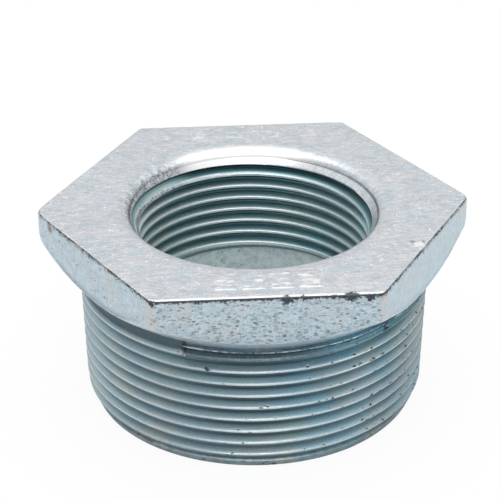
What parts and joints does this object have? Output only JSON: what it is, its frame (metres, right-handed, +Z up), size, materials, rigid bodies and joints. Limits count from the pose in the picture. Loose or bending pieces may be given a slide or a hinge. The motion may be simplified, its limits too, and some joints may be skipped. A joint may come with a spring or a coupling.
{
  "type": "hex reducing bushing",
  "caption": "Hexagon-headed reducing bushing with a tapered outside pipe thread and a smaller parallel inside pipe thread, cast in malleable iron and galvanised.",
  "frame": {"origin": "centre of the male end face, which the bushing stands on", "axes": "+Z up the bore, from the male end to the hexagon's top face; two opposite corners of the hexagon lie along X"},
  "size_m": [0.0736, 0.0646, 0.0343],
  "materials": {
    "galvanised_iron": "hot-dip zinc coating, satin with bright thread crests"
  },
  "bodies": {
    "root": {"bushing": "galvanised_iron"}
  },
  "joints": []
}
